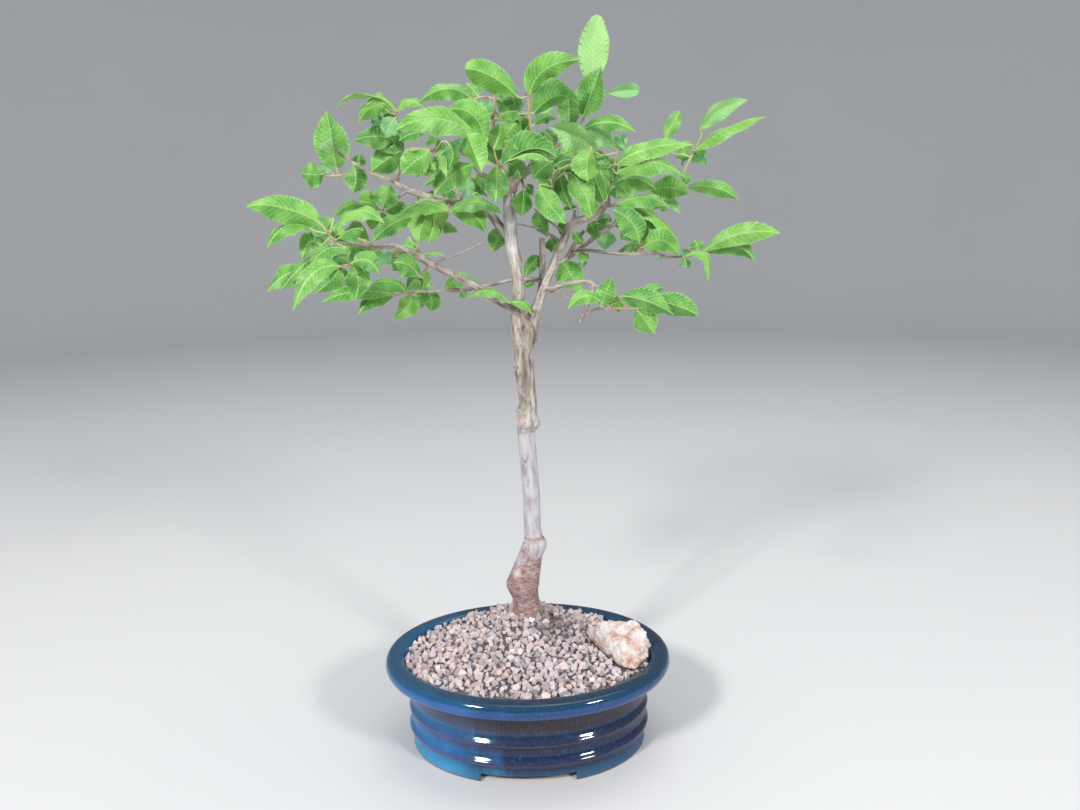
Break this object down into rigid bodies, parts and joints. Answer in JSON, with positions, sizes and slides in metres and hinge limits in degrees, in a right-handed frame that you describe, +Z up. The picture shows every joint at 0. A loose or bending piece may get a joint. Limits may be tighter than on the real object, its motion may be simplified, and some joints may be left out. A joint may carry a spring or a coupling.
{
  "type": "korean hornbeam bonsai",
  "caption": "Upright deciduous bonsai with a slender pale trunk and a spreading crown of toothed leaves, in gravel with a pale stone, in an oval glazed pot.",
  "frame": {"origin": "middle of the whole plan, at the height of the pot's feet", "axes": "+Z up the trunk, -Y to the pot's front, +X to the right seen from the front"},
  "size_m": [0.3454, 0.239, 0.5308],
  "materials": {
    "glaze": "glossy deep blue glaze with purple brown thin places",
    "gravel": "dry angular grit, grey to pink",
    "stone": "rough cream stone with rust patches",
    "bark": "pale grey bark with darker streaks",
    "leaf": "satin green leaves, paler below"
  },
  "bodies": {
    "root": {"pot": "glaze", "gravel": "gravel", "stone": "stone", "wood": "bark", "leaves_back_centre": "leaf", "leaves_back_far_right": "leaf", "leaves_back_high": "leaf", "leaves_back_left": "leaf", "leaves_back_left_end": "leaf", "leaves_back_left_high": "leaf", "leaves_back_left_mid": "leaf", "leaves_back_right": "leaf", "leaves_back_right_low": "leaf", "leaves_back_top": "leaf", "leaves_behind_high": "leaf", "leaves_behind_leader": "leaf", "leaves_behind_low": "leaf", "leaves_centre": "leaf", "leaves_far_left": "leaf", "leaves_left_below": "leaf", "leaves_left_end": "leaf", "leaves_left_hanging": "leaf", "leaves_left_inner": "leaf", "leaves_left_side": "leaf", "leaves_left_under": "leaf", "leaves_low_leader": "leaf", "leaves_low_pair": "leaf", "leaves_middle_right": "leaf", "leaves_right_end": "leaf", "leaves_right_inner": "leaf", "leaves_right_low": "leaf", "leaves_right_mid": "leaf", "leaves_right_mid_up": "leaf", "leaves_right_shoot": "leaf", "leaves_right_top": "leaf", "leaves_top_back_left": "leaf", "leaves_top_centre": "leaf", "leaves_top_front": "leaf", "leaves_top_inner": "leaf", "leaves_top_left_end": "leaf", "leaves_top_left_front": "leaf", "leaves_top_right": "leaf", "leaves_upper_left_front": "leaf", "leaves_upper_left_side": "leaf", "leaves_upper_left_tuft": "leaf"}
  },
  "joints": []
}
